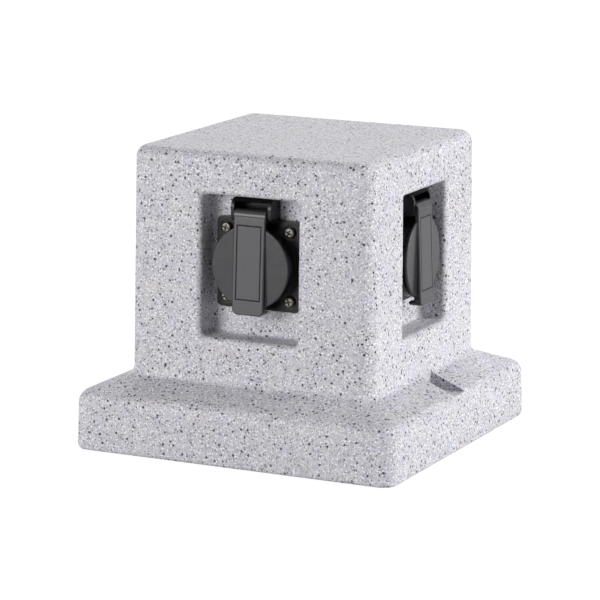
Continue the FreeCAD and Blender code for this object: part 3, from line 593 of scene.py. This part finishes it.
# Closing spring: close turns of drawn steel wire on the hinge pin, with one leg that
# presses on the flange. Drawing leaves the wire bright but not mirror-like.
steel, tree, shader = new_material("drawn_steel", "808083", 0.4, 1.0)
vary(tree, shader, "Roughness", noise(tree, 0.6, 2.0), 0.32, 0.5)
dress("pin_steel", steel)

TURNS, STEPS, WIRE, COIL_RADIUS, HALF_COIL = 9, 16, 0.7, 1.95, 3.15
curve = bpy.data.curves.new("front_lid_spring", "CURVE")
curve.dimensions = "3D"
curve.bevel_depth = WIRE / 2 * MM
curve.bevel_resolution = 3
curve.use_fill_caps = True
path = []
for i in range(TURNS * STEPS + 1):
    angle = 2 * math.pi * i / STEPS
    path.append(at(-HALF_COIL + 2 * HALF_COIL * i / (TURNS * STEPS),
                   HINGE_OUT + COIL_RADIUS * math.sin(angle),
                   HINGE_UP - COIL_RADIUS * math.cos(angle)))
path.append(at(HALF_COIL, 3.95, 24.0))
spline = curve.splines.new("POLY")
spline.points.add(len(path) - 1)
for point, place in zip(spline.points, path):
    point.co = (*place, 1)
coil = bpy.data.objects.new("front_lid_spring", curve)
bpy.context.collection.objects.link(coil)
bpy.ops.object.select_all(action="DESELECT")
coil.select_set(True)
bpy.context.view_layer.objects.active = coil
bpy.ops.object.convert(target="MESH")
part = bpy.context.object
smooth(part, 60)
put_on_sides(part, steel, "block", ["front_spring"])

# Hinge pin: a rod of the same steel, cut from bar and pressed into the hood's ears.
part = rod("front_lid_hinge_pin", HINGE, 1.2, 22, "across", sides=32)
soften(part, 0.2)
put_on_sides(part, steel, "block", ["front_hinge_pin"])

# Contacts: strips bent from rolled brass that grip a plug's pins, and the earth clip
# whose two ends spring into the well. Their CAD solids stay; the brass is stained.
brass, tree, shader = new_material("rolled_brass", "C9A24E", 0.28, 1.0)
vary(tree, shader, "Base Color", noise(tree, 2.0, 4.0), "B8903E", "D8B564")
dress("brass", brass)

# Base plate with its cable spout, and the terminal strip that stands on it: moulded
# plastics with a fine grain, dark grey and off-white. Their CAD solids stay.
base_grey, tree, shader = new_material("dark_grey_moulded_plastic", "4A4C50", 0.5)
grain = noise(tree, 0.4, 3.0)
vary(tree, shader, "Base Color", grain, "434549", "505256")
bump(tree, shader, grain, 0.015)
dress("base_grey", base_grey)
strip_white, tree, shader = new_material("off_white_moulded_plastic", "D9D6CC", 0.45)
vary(tree, shader, "Base Color", noise(tree, 0.5, 3.0), "D2CFC4", "E0DDD4")
dress("strip_white", strip_white)

# Studio: a pale floor under a white surround, and three soft lights: a large one on
# the right, one in front on the left and a weak one behind that reaches the top.
def seen_straight(tree):
    """1 for rays from the camera or off a gloss, 0 for the rest."""
    rays = add_node(tree, "ShaderNodeLightPath")
    return add_node(tree, "ShaderNodeMath", {"operation": "ADD", "use_clamp": True},
                    in0=rays.outputs["Is Camera Ray"],
                    in1=rays.outputs["Is Glossy Ray"]).outputs[0]


bpy.ops.mesh.primitive_plane_add(size=3)
floor = bpy.context.object
floor.name = "studio_floor"
floor_paint, tree, shader = new_material("studio_floor_paint", "D2D2D2", 0.9)
glow = add_node(tree, "ShaderNodeEmission", Color=linear("FFFFFF"), Strength=1.28)
share = add_node(tree, "ShaderNodeMath", {"operation": "MULTIPLY"},
                 in0=seen_straight(tree), in1=0.72)
chooser = add_node(tree, "ShaderNodeMixShader", Fac=share.outputs[0])
tree.links.new(shader.outputs[0], chooser.inputs[1])
tree.links.new(glow.outputs[0], chooser.inputs[2])
tree.links.new(chooser.outputs[0], tree.nodes["Material Output"].inputs["Surface"])
floor.data.materials.append(floor_paint)
floor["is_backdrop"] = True

world = bpy.data.worlds.new("studio")
world.use_nodes = True
bpy.context.scene.world = world
tree = world.node_tree
surround = tree.nodes["Background"]
surround.inputs["Color"].default_value = linear("FFFFFF")
surround.inputs["Strength"].default_value = 0.07
plain = add_node(tree, "ShaderNodeBackground", Color=linear("FFFFFF"), Strength=1.0)
chooser = add_node(tree, "ShaderNodeMixShader", Fac=seen_straight(tree))
tree.links.new(surround.outputs[0], chooser.inputs[1])
tree.links.new(plain.outputs[0], chooser.inputs[2])
tree.links.new(chooser.outputs[0], tree.nodes["World Output"].inputs["Surface"])


def soft_light(name, place, aim, size, power):
    data = bpy.data.lights.new(name, "AREA")
    data.shape = "SQUARE"
    data.size = size
    data.energy = power
    light = bpy.data.objects.new(name, data)
    bpy.context.collection.objects.link(light)
    light.location = place
    light.rotation_mode = "QUATERNION"
    light.rotation_quaternion = (Vector(place) - Vector(aim)).to_track_quat("Z", "Y")


middle = (0, 0, 0.1)
soft_light("key_softbox", (1.55, 0.35, 0.62), middle, 0.8, 26.8)
soft_light("front_softbox", (-0.75, -1.7, 0.5), middle, 1.0, 24.4)
soft_light("top_softbox", (-0.5, 1.2, 1.3), middle, 0.8, 10.8)

# Camera, as fitted to the block's edges in the photograph.
azimuth, elevation, roll = math.radians(25.4), math.radians(11.74), math.radians(0.46)
back = Vector((math.sin(azimuth) * math.cos(elevation),
               -math.cos(azimuth) * math.cos(elevation), math.sin(elevation)))
level = Vector((math.cos(azimuth), math.sin(azimuth), 0))
upward = back.cross(level)
right = math.cos(roll) * level + math.sin(roll) * upward
above = math.cos(roll) * upward - math.sin(roll) * level
lens = bpy.data.cameras.new("photo_view")
lens.lens = 192.21
lens.sensor_width = 36
lens.clip_start, lens.clip_end = 0.05, 20
stand = Matrix.Translation((0.75131, -1.58988, 0.44101))
camera = bpy.data.objects.new("photo_view", lens)
bpy.context.collection.objects.link(camera)
camera.matrix_world = stand @ Matrix((right, above, back)).transposed().to_4x4()
bpy.context.scene.camera = camera
bpy.context.scene.view_settings.view_transform = "Standard"

low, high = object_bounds()
